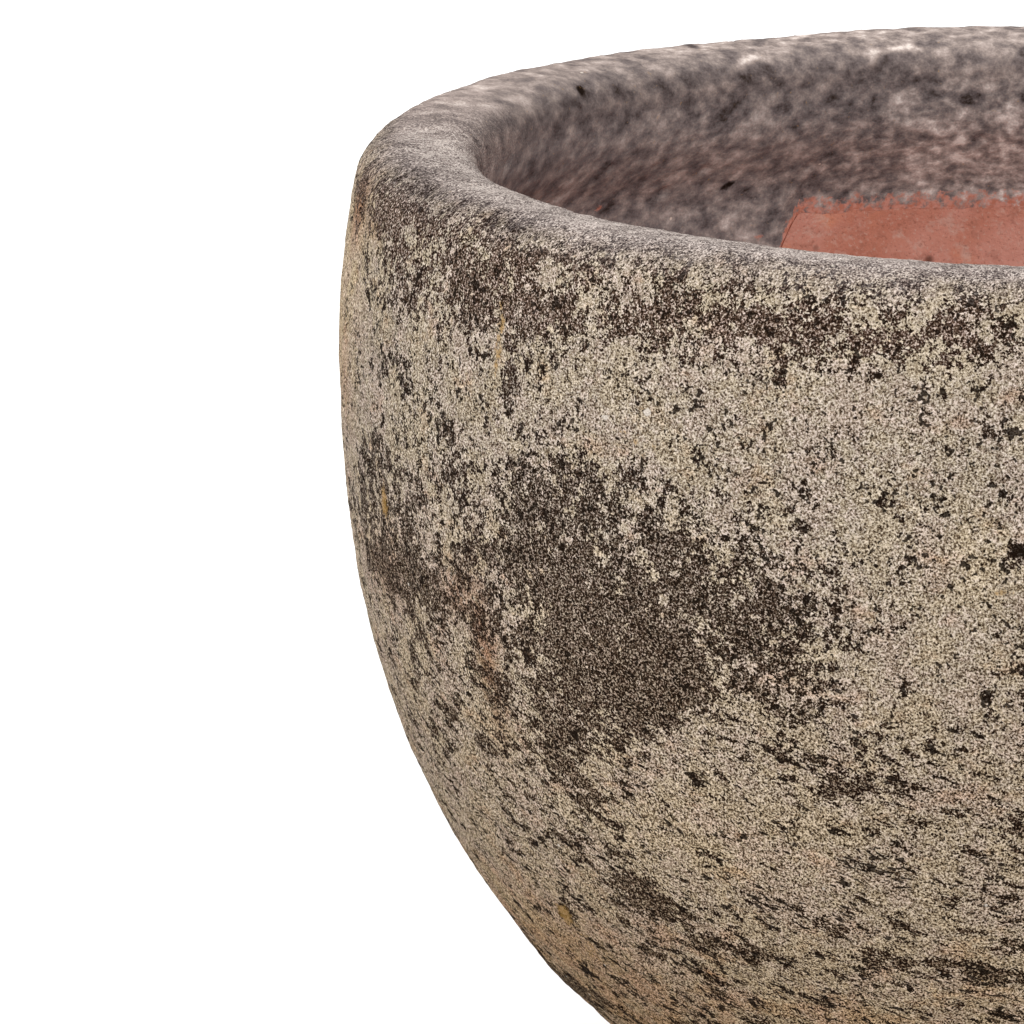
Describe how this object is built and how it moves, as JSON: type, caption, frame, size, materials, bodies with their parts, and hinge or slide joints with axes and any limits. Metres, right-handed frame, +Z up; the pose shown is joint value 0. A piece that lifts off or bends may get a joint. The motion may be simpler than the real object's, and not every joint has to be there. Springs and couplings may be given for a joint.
{
  "type": "bowl planter",
  "caption": "Deep round floor planter: a fired clay bowl with a thick rolled rim and a drain hole, under a rough sandy cement coat.",
  "frame": {"origin": "centre of the flat standing ring, on the floor", "axes": "+Z up along the bowl's axis; X and Y are any two level directions"},
  "size_m": [0.6, 0.6, 0.4],
  "materials": {
    "terracotta": "matte",
    "old_stone": "matte"
  },
  "bodies": {
    "root": {"clay_bowl": "terracotta", "stone_coat": "old_stone"}
  },
  "joints": []
}
